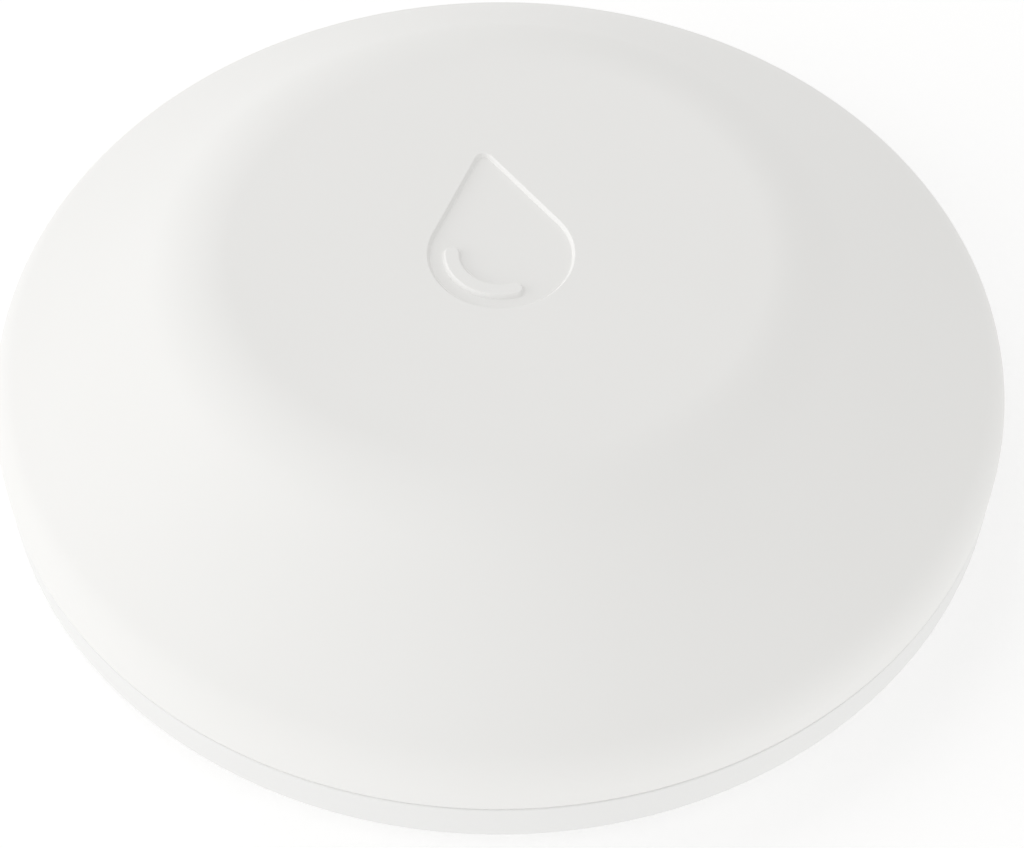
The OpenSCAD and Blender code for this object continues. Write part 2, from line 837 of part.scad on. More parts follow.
// Coin cell: a rounded can below and a smaller raised cap above
can_round = 0.4;
cap_inset = 1.5;
cap_h = 0.3;
crimp_w = 0.6;
module coin_cell() {
    color("#cdd0d2")
        translate([0, 0, cell_z])
            rotate_extrude($fn = disc_sides)
                polygon(concat([[0, 0]],
                    arc([cell_r - can_round, can_round], can_round, -90, 0, end_steps),
                    [[cell_r, cell_t - cap_h - crimp_w], [cell_r - crimp_w, cell_t - cap_h]],
                    [[cell_r - cap_inset, cell_t - cap_h], [cell_r - cap_inset - cap_h, cell_t]],
                    [[0, cell_t]]));
}

door_edge = 0.3;
door_groove_h = door_seal_d - seat_gap + 2 * touch;
door_groove_in_r = door_seal_r - door_seal_d / 2 - touch;
door_groove_out_r = door_seal_r + door_seal_d / 2 + touch;
module battery_door() {
    color("#edece9")
        difference() {
            union() {
                rotate_extrude($fn = disc_sides)
                    polygon([[0, under_z], [door_r - door_edge, under_z], [door_r, under_z + door_edge],
                        [door_r, door_top_z], [skirt_r, door_top_z], [skirt_r, skirt_top_z],
                        [skirt_in_r, skirt_top_z], [skirt_in_r, door_top_z], [0, door_top_z]]);
                for (dir = pin_dirs)
                    rotate(dir)
                        translate([skirt_in_r + skirt_t / 2, 0, pin_z])
                            rotate([0, 90, 0])
                                cylinder(r = pin_r, h = pin_reach + skirt_t / 2);
            }
            translate([0, 0, door_top_z - door_groove_h])
                tube(door_groove_out_r, door_groove_in_r, door_groove_h + cut);
            translate([0, 0, under_z - cut])
                linear_extrude(slot_depth + cut)
                    polygon(slot_points(slot_len, slot_w));
            place(skirt_r, [mark_dir])
                translate([0, 0, under_z - cut])
                    cylinder(r = mark_r, h = mark_depth + cut);
        }
}

module door_seal() {
    color("#9aa4a8")
        translate([0, 0, door_top_z - door_groove_h + touch + door_seal_d / 2])
            ring(door_seal_r, door_seal_d);
}

top_cover();
base();
housing_seal();
cover_screws();
feet();
sensing_probes();
probe_seals();
probe_springs();
circuit_board();
board_screws();
radio_module();
radio_shield();
antenna();
controller_chip();
crystal();
capacitors();
resistors();
status_led();
light_guide();
buzzer();
buzzer_gasket();
sound_membrane();
positive_contact();
negative_contact();
switch_body();
switch_plunger();
setup_button();
button_seal();
coin_cell();
battery_door();
door_seal();
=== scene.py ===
from math import asin, atan2, cos, degrees, hypot, radians, sin, tan, tau

import bmesh
import bpy
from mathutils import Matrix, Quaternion, Vector


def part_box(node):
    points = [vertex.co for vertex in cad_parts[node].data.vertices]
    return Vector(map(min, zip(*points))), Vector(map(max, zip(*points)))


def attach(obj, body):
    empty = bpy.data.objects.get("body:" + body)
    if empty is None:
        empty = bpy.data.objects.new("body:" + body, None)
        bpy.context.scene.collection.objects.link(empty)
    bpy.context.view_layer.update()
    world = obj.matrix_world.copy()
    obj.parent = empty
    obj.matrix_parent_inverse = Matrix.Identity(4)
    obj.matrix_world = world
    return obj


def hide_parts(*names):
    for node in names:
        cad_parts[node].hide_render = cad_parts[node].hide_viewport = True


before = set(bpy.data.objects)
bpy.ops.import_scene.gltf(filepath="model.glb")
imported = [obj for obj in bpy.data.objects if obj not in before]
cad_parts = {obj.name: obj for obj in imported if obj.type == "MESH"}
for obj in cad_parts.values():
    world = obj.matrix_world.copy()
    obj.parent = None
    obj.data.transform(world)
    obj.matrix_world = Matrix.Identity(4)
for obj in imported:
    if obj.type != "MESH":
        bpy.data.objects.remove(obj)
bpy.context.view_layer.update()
mm = 0.001
print("frame loaded:", len(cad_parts), "nodes")

# Camera at the photo's angle; it looks from the front and from above
cameraLook = {
    "azimuth": -7.4,
    "elevation": 50.25,
    "distance": 146.4,
    "focalPixels": 2200,
    "imageSize": (1024, 848),
    "targetPixel": (499.9, 365.4),
    "roll": -0.34,
    "sensorWidth": 36,
    "clipStart": 0.01,
}


def placeCamera(look):
    data = bpy.data.cameras.new("photo_camera")
    data.sensor_width = look["sensorWidth"]
    data.lens = look["focalPixels"] / look["imageSize"][0] * data.sensor_width
    data.clip_start = look["clipStart"]
    camera = bpy.data.objects.new("photo_camera", data)
    bpy.context.scene.collection.objects.link(camera)
    azimuth = radians(look["azimuth"])
    elevation = radians(look["elevation"])
    back = Vector((sin(azimuth) * cos(elevation), -cos(azimuth) * cos(elevation), sin(elevation)))
    target = Vector((0, 0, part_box("top_cover")[0].z))
    across = (look["targetPixel"][0] - look["imageSize"][0] / 2) / look["focalPixels"]
    down = (look["targetPixel"][1] - look["imageSize"][1] / 2) / look["focalPixels"]
    aim = Vector((across, -down, -1)).normalized()
    turn = (-back).to_track_quat("-Z", "Y") @ Quaternion((0, 0, 1), radians(look["roll"]))
    turn = turn @ Vector((0, 0, -1)).rotation_difference(aim).inverted()
    camera.rotation_euler = turn.to_euler()
    camera.location = target + back * look["distance"] * mm
    bpy.context.scene.camera = camera


placeCamera(cameraLook)


# Node trees: sockets are found by identifier first, because some share a name
def findSocket(sockets, key):
    for socket in sockets:
        if socket.identifier == key:
            return socket
    return sockets[key]


def addNode(tree, kind, inputs, **settings):
    node = tree.nodes.new(kind)
    for key, value in settings.items():
        setattr(node, key, value)
    for key, value in inputs.items():
        socket = findSocket(node.inputs, key)
        if isinstance(value, bpy.types.NodeSocket):
            tree.links.new(value, socket)
        else:
            socket.default_value = value
    return node


def shaderGroup(name, inputs, outputs):
    group = bpy.data.node_groups.new(name, "ShaderNodeTree")
    for label, kind in inputs.items():
        group.interface.new_socket(label, in_out="INPUT", socket_type=kind)
    for label, kind in outputs.items():
        group.interface.new_socket(label, in_out="OUTPUT", socket_type=kind)
    start = group.nodes.new("NodeGroupInput").outputs
    end = group.nodes.new("NodeGroupOutput").inputs
    return group, start, end


color = "NodeSocketColor"
number = "NodeSocketFloat"
finishInputs = {
    "Base": color,
    "Shade": color,
    "Patch Scale": number,
    "Grain Scale": number,
    "Low Rough": number,
    "High Rough": number,
}
finishOutputs = {"Color": color, "Roughness": number, "Height": number}


def buildFinish(name, patchMask, grainMask):
    # patchMask and grainMask each add nodes to the group and return a value between 0 and 1
    group, start, end = shaderGroup(name, finishInputs, finishOutputs)
    place = addNode(group, "ShaderNodeTexCoord", {}).outputs["Object"]
    patch = patchMask(group, place, start["Patch Scale"])
    grain = grainMask(group, place, start["Grain Scale"])
    tint = addNode(group, "ShaderNodeMix", {"Factor_Float": patch, "A_Color": start["Base"],
                                            "B_Color": start["Shade"]}, data_type="RGBA")
    rough = addNode(group, "ShaderNodeMapRange", {"Value": grain, "To Min": start["Low Rough"],
                                                  "To Max": start["High Rough"]})
    group.links.new(findSocket(tint.outputs, "Result_Color"), end["Color"])
    group.links.new(rough.outputs["Result"], end["Roughness"])
    group.links.new(grain, end["Height"])
    return group


maskLook = {
    "noiseDetail": 3.0,
    "noiseSpread": (0.3, 0.7),
    "latheDetail": 2.0,
    "brushPull": (0.06, 1.0, 1.0),
    "trackScatter": 0.85,
    "trackRings": 5.0,
    "trackEdge": (0.62, 0.7),
}


def noiseMask(tree, place, scale):
    noise = addNode(tree, "ShaderNodeTexNoise", {"Vector": place, "Scale": scale,
                                                 "Detail": maskLook["noiseDetail"]})
    low, high = maskLook["noiseSpread"]
    spread = addNode(tree, "ShaderNodeMapRange", {"Value": noise.outputs["Fac"], "From Min": low,
                                                  "From Max": high})
    return spread.outputs["Result"]


def cellMask(tree, place, scale):
    cells = addNode(tree, "ShaderNodeTexVoronoi", {"Vector": place, "Scale": scale})
    return cells.outputs["Distance"]


def latheMask(tree, place, scale):
    # fine rings that follow the radius stored by the turned pieces
    radius = addNode(tree, "ShaderNodeAttribute", {}, attribute_name="spinRadius").outputs["Fac"]
    rings = addNode(tree, "ShaderNodeTexNoise", {"W": radius, "Scale": scale,
                                                 "Detail": maskLook["latheDetail"]}, noise_dimensions="1D")
    return rings.outputs["Fac"]


def brushMask(tree, place, scale):
    # long fine lines along X
    pull = addNode(tree, "ShaderNodeVectorMath", {"Vector": place, "Vector_001": maskLook["brushPull"]},
                   operation="MULTIPLY")
    lines = addNode(tree, "ShaderNodeTexNoise", {"Vector": pull.outputs["Vector"], "Scale": scale,
                                                 "Detail": maskLook["noiseDetail"]})
    return lines.outputs["Fac"]


def traceMask(tree, place, scale):
    # nested squares, read as copper tracks under the solder mask
    cells = addNode(tree, "ShaderNodeTexVoronoi", {"Vector": place, "Scale": scale,
                                                   "Randomness": maskLook["trackScatter"]},
                    voronoi_dimensions="2D", distance="CHEBYCHEV")
    rings = addNode(tree, "ShaderNodeMath", {"Value": cells.outputs["Distance"],
                                             "Value_001": maskLook["trackRings"]}, operation="MULTIPLY")
    wave = addNode(tree, "ShaderNodeMath", {"Value": rings.outputs["Value"], "Value_001": 1.0},
                   operation="PINGPONG")
    low, high = maskLook["trackEdge"]
    edge = addNode(tree, "ShaderNodeMapRange", {"Value": wave.outputs["Value"], "From Min": low,
                                                "From Max": high})
    return edge.outputs["Result"]


grainFinish = buildFinish("grainFinish", noiseMask, noiseMask)
latheFinish = buildFinish("latheFinish", noiseMask, latheMask)
brushFinish = buildFinish("brushFinish", noiseMask, brushMask)
cellFinish = buildFinish("cellFinish", noiseMask, cellMask)
trackFinish = buildFinish("trackFinish", traceMask, noiseMask)


def finishMaterial(name, group, look):
    material = bpy.data.materials.new(name)
    material.use_nodes = True
    tree = material.node_tree
    shader = next(node for node in tree.nodes if node.type == "BSDF_PRINCIPLED")
    finish = addNode(tree, "ShaderNodeGroup", {}, node_tree=group)
    for label in finishInputs:
        value = look[label]
        finish.inputs[label].default_value = (*value, 1) if finishInputs[label] == color else value
    relief = addNode(tree, "ShaderNodeBump", {"Strength": look["Relief"], "Distance": look["Depth"] * mm,
                                              "Height": finish.outputs["Height"]})
    tree.links.new(finish.outputs["Color"], shader.inputs["Base Color"])
    tree.links.new(finish.outputs["Roughness"], shader.inputs["Roughness"])
    tree.links.new(relief.outputs["Normal"], shader.inputs["Normal"])
    for label, value in look.get("Shader", {}).items():
        shader.inputs[label].default_value = value
    material.diffuse_color = (*look["Base"], 1)
    return material


def finishLook(base, shade, patchScale, grainScale, rough, relief, depth, **shader):
    named = {label.replace("_", " "): value for label, value in shader.items()}
    return {"Base": base, "Shade": shade, "Patch Scale": patchScale, "Grain Scale": grainScale,
            "Low Rough": rough[0], "High Rough": rough[1], "Relief": relief, "Depth": depth, "Shader": named}


# One finish for each material slot of the record: base colour, patch colour, patch scale, grain scale,
# roughness from and to, strength and depth of the relief (mm), then other shader values
finishes = {
    "cover_plastic": (grainFinish, finishLook(
        (0.872, 0.869, 0.856), (0.862, 0.859, 0.845), 60, 5200, (0.58, 0.68), 0.05, 0.02)),
    "base_plastic": (grainFinish, finishLook(
        (0.85, 0.85, 0.842), (0.838, 0.838, 0.83), 60, 4200, (0.6, 0.7), 0.09, 0.02)),
    "button_plastic": (grainFinish, finishLook(
        (0.74, 0.74, 0.735), (0.72, 0.72, 0.715), 150, 4200, (0.4, 0.5), 0.08, 0.02)),
    "plunger_plastic": (grainFinish, finishLook(
        (0.8, 0.77, 0.68), (0.76, 0.72, 0.63), 400, 4000, (0.35, 0.45), 0.06, 0.02)),
    "pale_silicone": (grainFinish, finishLook(
        (0.55, 0.58, 0.6), (0.5, 0.53, 0.55), 300, 3000, (0.5, 0.62), 0.08, 0.02)),
    "dark_rubber": (grainFinish, finishLook(
        (0.05, 0.052, 0.055), (0.07, 0.07, 0.072), 400, 3200, (0.5, 0.65), 0.1, 0.02)),
    "foot_rubber": (grainFinish, finishLook(
        (0.3, 0.31, 0.32), (0.26, 0.27, 0.28), 260, 3600, (0.66, 0.82), 0.25, 0.03)),
    "gasket_foam": (cellFinish, finishLook(
        (0.1, 0.1, 0.105), (0.065, 0.065, 0.07), 700, 2600, (0.95, 0.75), 0.7, 0.06)),
    "probe_gold": (latheFinish, finishLook(
        (0.8, 0.61, 0.27), (0.74, 0.53, 0.21), 350, 9000, (0.2, 0.32), 0.12, 0.01, Metallic=1.0)),
    "screw_steel": (grainFinish, finishLook(
        (0.62, 0.63, 0.64), (0.55, 0.56, 0.58), 500, 5200, (0.24, 0.38), 0.1, 0.01, Metallic=1.0)),
    "spring_steel": (brushFinish, finishLook(
        (0.66, 0.67, 0.68), (0.58, 0.59, 0.61), 420, 6000, (0.22, 0.36), 0.08, 0.01, Metallic=1.0)),
    "shield_tin": (brushFinish, finishLook(
        (0.7, 0.71, 0.71), (0.64, 0.65, 0.66), 300, 5200, (0.3, 0.44), 0.08, 0.01, Metallic=1.0)),
    "cell_steel": (latheFinish, finishLook(
        (0.68, 0.69, 0.7), (0.61, 0.62, 0.64), 200, 7000, (0.22, 0.36), 0.08, 0.01, Metallic=1.0)),
    "board_laminate": (trackFinish, finishLook(
        (0.015, 0.12, 0.06), (0.03, 0.22, 0.1), 320, 2600, (0.25, 0.36), 0.06, 0.02, Coat_Weight=0.3)),
    "radio_laminate": (trackFinish, finishLook(
        (0.014, 0.06, 0.12), (0.03, 0.11, 0.22), 520, 2600, (0.25, 0.36), 0.06, 0.02, Coat_Weight=0.3)),
    "chip_black": (grainFinish, finishLook(
        (0.03, 0.03, 0.032), (0.045, 0.045, 0.047), 500, 5200, (0.5, 0.66), 0.2, 0.02)),
    "capacitor_tan": (cellFinish, finishLook(
        (0.45, 0.29, 0.12), (0.38, 0.23, 0.09), 600, 5000, (0.45, 0.6), 0.12, 0.02)),
    "lamp_resin": (cellFinish, finishLook(
        (0.88, 0.83, 0.6), (0.86, 0.72, 0.32), 900, 4200, (0.12, 0.22), 0.05, 0.02)),
    "milky_acrylic": (grainFinish, finishLook(
        (0.86, 0.88, 0.9), (0.81, 0.84, 0.87), 240, 1800, (0.2, 0.34), 0.05, 0.02,
        Transmission_Weight=0.35)),
    "membrane_film": (cellFinish, finishLook(
        (0.88, 0.88, 0.87), (0.82, 0.82, 0.81), 800, 5200, (0.8, 0.62), 0.35, 0.02)),
}
materials = {name: finishMaterial(name, group, look) for name, (group, look) in finishes.items()}
print("materials made:", len(materials))


# Geometry trees
mergeReach = 1e-6  # points nearer than this, in metres, are joined
fineReach = 1e-7


def geometryTree(name, inputs):
    tree = bpy.data.node_groups.new(name, "GeometryNodeTree")
    for label, kind in inputs.items():
        tree.interface.new_socket(label, in_out="INPUT", socket_type=kind)
    tree.interface.new_socket("Geometry", in_out="OUTPUT", socket_type="NodeSocketGeometry")
    return tree, tree.nodes.new("NodeGroupInput").outputs


def closeTree(tree, geometry, material):
    smooth = addNode(tree, "GeometryNodeSetShadeSmooth", {"Geometry": geometry})
    real = addNode(tree, "GeometryNodeRealizeInstances", {"Geometry": smooth.outputs[0]})
    painted = addNode(tree, "GeometryNodeSetMaterial", {"Geometry": real.outputs[0], "Material": material})
    end = tree.nodes.new("NodeGroupOutput")
    tree.links.new(painted.outputs[0], end.inputs[0])


def runTree(tree, name, values):
    piece = bpy.data.objects.new(name, bpy.data.meshes.new(name))
    bpy.context.scene.collection.objects.link(piece)
    modifier = piece.modifiers.new("shape", "NODES")
    modifier.node_group = tree
    for item in tree.interface.items_tree:
        if item.in_out == "INPUT":
            modifier[item.identifier] = values[item.name]
    solved = piece.evaluated_get(bpy.context.evaluated_depsgraph_get())
    mesh = bpy.data.meshes.new_from_object(solved)
    piece.modifiers.remove(modifier)
    piece.data = mesh
    mesh.name = name
    return piece


def turnedTree():
    tree, start = geometryTree("turned", {
        "Profile": "NodeSocketObject", "Segments": "NodeSocketInt", "Spin Radius": number,
        "Material": "NodeSocketMaterial"})
    section = addNode(tree, "GeometryNodeObjectInfo", {"Object": start["Profile"]})
    path = addNode(tree, "GeometryNodeCurvePrimitiveCircle", {"Resolution": start["Segments"],
                                                              "Radius": start["Spin Radius"]})
    swept = addNode(tree, "GeometryNodeCurveToMesh", {"Curve": path.outputs["Curve"],
                                                      "Profile Curve": section.outputs["Geometry"]})
    joined = addNode(tree, "GeometryNodeMergeByDistance", {"Geometry": swept.outputs[0],
                                                           "Distance": mergeReach})
    place = addNode(tree, "GeometryNodeInputPosition", {})
    flat = addNode(tree, "ShaderNodeVectorMath", {"Vector": place.outputs[0], "Vector_001": (1, 1, 0)},
                   operation="MULTIPLY")
    reach = addNode(tree, "ShaderNodeVectorMath", {"Vector": flat.outputs[0]}, operation="LENGTH")
    stored = addNode(tree, "GeometryNodeStoreNamedAttribute", {
        "Geometry": joined.outputs[0], "Name": "spinRadius", "Value": reach.outputs["Value"]})
    closeTree(tree, stored.outputs[0], start["Material"])
    return tree


def ringTree():
    tree, start = geometryTree("ring", {
        "Piece": "NodeSocketObject", "Count": "NodeSocketInt", "Ring Radius": number, "Start Angle": number,
        "Skip Every": "NodeSocketInt", "Material": "NodeSocketMaterial"})
    spots = addNode(tree, "GeometryNodeMeshCircle", {"Vertices": start["Count"],
                                                     "Radius": start["Ring Radius"]})
    turn = addNode(tree, "ShaderNodeCombineXYZ", {"Z": start["Start Angle"]})
    placed = addNode(tree, "GeometryNodeTransform", {"Geometry": spots.outputs[0],
                                                     "Rotation": turn.outputs[0]})
    order = addNode(tree, "GeometryNodeInputIndex", {})
    following = addNode(tree, "ShaderNodeMath", {"Value": order.outputs[0], "Value_001": 1.0},
                        operation="ADD")
    rest = addNode(tree, "ShaderNodeMath", {"Value": following.outputs[0], "Value_001": start["Skip Every"]},
                   operation="MODULO")
    keep = addNode(tree, "ShaderNodeMath", {"Value": rest.outputs[0], "Value_001": 0.5},
                   operation="GREATER_THAN")
    whole = addNode(tree, "ShaderNodeMath", {"Value": tau, "Value_001": start["Count"]},
                    operation="DIVIDE")
    angle = addNode(tree, "ShaderNodeMath", {"Value": order.outputs[0], "Value_001": whole.outputs[0],
                                             "Value_002": start["Start Angle"]}, operation="MULTIPLY_ADD")
    spin = addNode(tree, "ShaderNodeCombineXYZ", {"Z": angle.outputs[0]})
    piece = addNode(tree, "GeometryNodeObjectInfo", {"Object": start["Piece"]})
    copies = addNode(tree, "GeometryNodeInstanceOnPoints", {
        "Points": placed.outputs[0], "Selection": keep.outputs[0], "Instance": piece.outputs["Geometry"],
        "Rotation": spin.outputs[0]})
    closeTree(tree, copies.outputs[0], start["Material"])
    return tree


def coilTree():
    tree, start = geometryTree("coil", {
        "Turns": number, "Coil Radius": number, "Wire Radius": number, "Rise": number, "Low Height": number,
        "Steps": "NodeSocketInt", "Wire Steps": "NodeSocketInt", "Material": "NodeSocketMaterial"})
    path = addNode(tree, "GeometryNodeCurveSpiral", {
        "Resolution": start["Steps"], "Rotations": start["Turns"], "Start Radius": start["Coil Radius"],
        "End Radius": start["Coil Radius"], "Height": start["Rise"]})
    wire = addNode(tree, "GeometryNodeCurvePrimitiveCircle", {"Resolution": start["Wire Steps"],
                                                              "Radius": start["Wire Radius"]})
    swept = addNode(tree, "GeometryNodeCurveToMesh", {"Curve": path.outputs[0],
                                                      "Profile Curve": wire.outputs["Curve"],
                                                      "Fill Caps": True})
    lift = addNode(tree, "ShaderNodeCombineXYZ", {"Z": start["Low Height"]})
    lifted = addNode(tree, "GeometryNodeTransform", {"Geometry": swept.outputs[0],
                                                     "Translation": lift.outputs[0]})
    closeTree(tree, lifted.outputs[0], start["Material"])
    return tree


def rowTree():
    tree, start = geometryTree("row", {
        "Piece": "NodeSocketObject", "Count": "NodeSocketInt", "Start": "NodeSocketVector",
        "Step": "NodeSocketVector", "Material": "NodeSocketMaterial"})
    spots = addNode(tree, "GeometryNodeMeshLine", {"Count": start["Count"], "Start Location": start["Start"],
                                                   "Offset": start["Step"]})
    piece = addNode(tree, "GeometryNodeObjectInfo", {"Object": start["Piece"]})
    copies = addNode(tree, "GeometryNodeInstanceOnPoints", {"Points": spots.outputs[0],
                                                            "Instance": piece.outputs["Geometry"]})
    closeTree(tree, copies.outputs[0], start["Material"])
    return tree


turned = turnedTree()
ringed = ringTree()
coiled = coilTree()
rowed = rowTree()


# Shapes shared by the pieces
noSkip = 1000  # more than any ring holds, so no place stays empty
flatWeight = 90  # how far large faces rule the shading of their corners


def onCircle(centre, radius, angle):
    return centre[0] + radius * cos(radians(angle)), centre[1] + radius * sin(radians(angle))


def arc(centre, radius, start, end, steps):
    return [onCircle(centre, radius, start + (end - start) * i / steps) for i in range(steps + 1)]


def turnPiece(name, profile, segments, slot, closed=False):
    # profile holds radius and height in millimetres; the tree sweeps it round a circle of spinRadius
    spinRadius = 10
    curve = bpy.data.curves.new("profile", "CURVE")
    curve.dimensions = "3D"
    spline = curve.splines.new("POLY")
    spline.points.add(len(profile) - 1)
    for point, (radius, height) in zip(spline.points, profile):
        point.co = ((radius - spinRadius) * mm, -height * mm, 0, 1)
    spline.use_cyclic_u = closed
    section = bpy.data.objects.new("profile", curve)
    bpy.context.scene.collection.objects.link(section)
    piece = runTree(turned, name, {"Profile": section, "Segments": segments, "Spin Radius": spinRadius * mm,
                                   "Material": materials[slot]})
    bpy.data.objects.remove(section)
    bpy.data.curves.remove(curve)
    return piece


def ringPiece(name, piece, count, radius, start, slot, skip=noSkip):
    copies = runTree(ringed, name, {"Piece": piece, "Count": count, "Ring Radius": radius * mm,
                                    "Start Angle": radians(start), "Skip Every": skip,
                                    "Material": materials[slot]})
    bpy.data.objects.remove(piece)
    return copies


def settle(piece, sharpAngle):
    # outward normals, smooth faces, and flats that stay flat up to their rounded edges
    work = bmesh.new()
    work.from_mesh(piece.data)
    bmesh.ops.remove_doubles(work, verts=work.verts, dist=fineReach)
    bmesh.ops.recalc_face_normals(work, faces=work.faces)
    for face in work.faces:
        face.smooth = True
    work.to_mesh(piece.data)
    work.free()
    piece.data.set_sharp_from_angle(angle=radians(sharpAngle))
    weights = piece.modifiers.new("weights", "WEIGHTED_NORMAL")
    weights.keep_sharp = True
    weights.weight = flatWeight
    solved = piece.evaluated_get(bpy.context.evaluated_depsgraph_get())
    mesh = bpy.data.meshes.new_from_object(solved)
    piece.modifiers.remove(weights)
    name = piece.data.name
    piece.data = mesh
    mesh.name = name


def finishPiece(piece, body, slot, replaced=None, sharpAngle=40):
    settle(piece, sharpAngle)
    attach(piece, body)
    if replaced:
        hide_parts(replaced)


def bridge(work, outer, inner):
    count = len(outer)
    for i in range(count):
        follow = (i + 1) % count
        work.faces.new((outer[i], outer[follow], inner[follow], inner[i]))


def ringVerts(work, points, height):
    return [work.verts.new((x * mm, y * mm, height * mm)) for x, y in points]


def loopEdges(work, loop):
    return [work.edges.get((loop[i], loop[(i + 1) % len(loop)])) for i in range(len(loop))]


# Cover: a turned shell, with the drop symbol let into the middle of its flat top
coverLook = {
    "plateauRadius": 16.8,
    "blendRadius": 9.3,
    "rimRadius": 3.5,
    "rimLand": 1.2,
    "wall": 1.8,
    "lipRound": 0.075,
    "lipDrop": 0.1,
    "lipSteps": 10,
    "flatGap": 0.2,
    "seamRadius": 9.6,
    "segments": 256,
    "arcSteps": 36,
    "sharpAngle": 50,
}
dropLook = {
    "centreY": -0.9,
    "radius": 4.5,
    "reach": 8.7,
    "tipRadius": 0.5,
    "depth": 0.25,
    "wallAngle": 55,
    "wallRound": 0.06,
    "edgeSteps": 6,
    "guard": 0.05,
    "sideSteps": 16,
    "straightSteps": 40,
    "tipSteps": 16,
    "roundSteps": 144,
    "glintRadius": 2.55,
    "glintWidth": 1.0,
    "glintStart": 171,
    "glintEnd": 279,
    "glintOuterSteps": 60,
    "glintInnerSteps": 50,
    "glintEndSteps": 20,
    "guideGrow": 0.65,
    "guideWall": 0.65,
}
postLook = {
    "ring": 25.0,
    "directions": (90, 210, 330),
    "radius": 2.8,
    "hole": 1.05,
    "lowHeight": 5.0,
    "holeHeight": 9.3,
    "steps": 64,
}


def coverSection(look, low, high):
    # centres of the outer face's two arcs, and the angle of the slope between them
    blendCentre = (look["plateauRadius"], high - look["blendRadius"])
    rimCentre = (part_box("top_cover")[1].x / mm - look["rimRadius"], low + look["rimLand"])
    across = rimCentre[0] - blendCentre[0]
    fall = blendCentre[1] - rimCentre[1]
    slope = degrees(atan2(fall, across))
    slope += degrees(asin((look["blendRadius"] - look["rimRadius"]) / hypot(across, fall)))
    return blendCentre, rimCentre, slope


def coverProfile(look, low, high):
    blendCentre, rimCentre, slope = coverSection(look, low, high)
    steps = look["arcSteps"]
    wall = look["wall"]
    flat = look["plateauRadius"] - look["flatGap"]
    lip = look["lipRound"]
    bead = low - look["lipDrop"] + lip
    beadStart = 180 + degrees(asin((bead - low) / lip))
    outerRadius = rimCentre[0] + look["rimRadius"]
    inside = [(look["seamRadius"], high - wall), (flat, high - wall)]
    inside += arc(blendCentre, look["blendRadius"] - wall, 90, 90 - slope, steps // 2)
    inside += arc(rimCentre, look["rimRadius"] - wall, 90 - slope, 0, steps // 2)
    inside += arc((outerRadius - wall + lip, low + lip), lip, 180, 270, look["lipSteps"] // 2)
    outside = arc((outerRadius - lip, bead), lip, beadStart, 360, look["lipSteps"])
    outside += arc(rimCentre, look["rimRadius"], 0, 90 - slope, steps)
    outside += arc(blendCentre, look["blendRadius"], 90 - slope, 90, steps)
    outside += [(flat, high), (look["seamRadius"], high)]
    return inside + outside


def along(ends, steps):
    (x0, y0), (x1, y1) = ends
    return [(x0 + (x1 - x0) * i / steps, y0 + (y1 - y0) * i / steps) for i in range(steps)]


def dropRing(look, grow):
    # as many points as the round seam has, laid so that they face its points
    radius = look["radius"] + grow
    tip = look["tipRadius"] + grow
    reach = look["reach"] - look["tipRadius"]
    lean = degrees(asin((radius - tip) / reach))
    lower = (0, look["centreY"])
    upper = (0, look["centreY"] + reach)
    right = [onCircle(lower, radius, lean), onCircle(upper, tip, lean)]
    left = [onCircle(upper, tip, 180 - lean), onCircle(lower, radius, 180 - lean)]
    points = arc(lower, radius, 0, lean, look["sideSteps"])[:-1]
    points += along(right, look["straightSteps"])
    points += arc(upper, tip, lean, 180 - lean, look["tipSteps"])[:-1]
    points += along(left, look["straightSteps"])
    return points + arc(lower, radius, 180 - lean, 360, look["roundSteps"])[:-1]


def glintRing(look, grow):
    half = look["glintWidth"] / 2
    middle = look["glintRadius"] + half
    centre = (0, look["centreY"])
    start = look["glintStart"]
    end = look["glintEnd"]
    steps = look["glintEndSteps"]
    points = arc(centre, middle + half + grow, start, end, look["glintOuterSteps"])
    points += arc(onCircle(centre, middle, end), half + grow, end, end + 180, steps)[1:-1]
    points += arc(centre, middle - half - grow, end, start, look["glintInnerSteps"])
    points += arc(onCircle(centre, middle, start), half + grow, start + 180, start + 360, steps)[1:-1]
    return points


def edgeProfile(look):
    # leaning wall from the flat top to the drop's floor (sideways, down), rounded above and below
    lean = radians(look["wallAngle"])
    rounding = look["wallRound"]
    depth = look["depth"]
    half = rounding * sin(lean) + (depth / 2 - rounding * (1 - cos(lean))) / tan(lean)
    turns = [lean * i / look["edgeSteps"] for i in range(look["edgeSteps"] + 1)]
    upper = [(half - rounding * sin(t), rounding * (1 - cos(t))) for t in turns]
    lower = [(-side, depth - down) for side, down in reversed(upper)]
    return [(half + look["guard"], 0), *upper, *lower, (-half - look["guard"], depth)]


def addDrop(work, look, high):
    seam = arc((0, 0), coverLook["seamRadius"], 0, 360, coverLook["segments"])[:-1]
    loop = ringVerts(work, seam, high)
    for grow, down in edgeProfile(look):
        inner = ringVerts(work, dropRing(look, grow), high - down)
        bridge(work, loop, inner)
        loop = inner
    edges = loopEdges(work, loop)
    loop = None
    for grow, down in edgeProfile(look):
        outer = ringVerts(work, glintRing(look, -grow), high - down)
        if loop:
            bridge(work, outer, loop)
        else:
            work.faces.new(outer)
        loop = outer
    edges += loopEdges(work, loop)
    bmesh.ops.triangle_fill(work, use_beauty=True, edges=edges)
    ceiling = high - coverLook["wall"]
    loop = ringVerts(work, seam, ceiling)
    for height in (ceiling, high - look["depth"] - look["guideWall"]):
        inner = ringVerts(work, dropRing(look, look["guideGrow"]), height)
        bridge(work, inner, loop)
        loop = inner
    work.faces.new(loop)


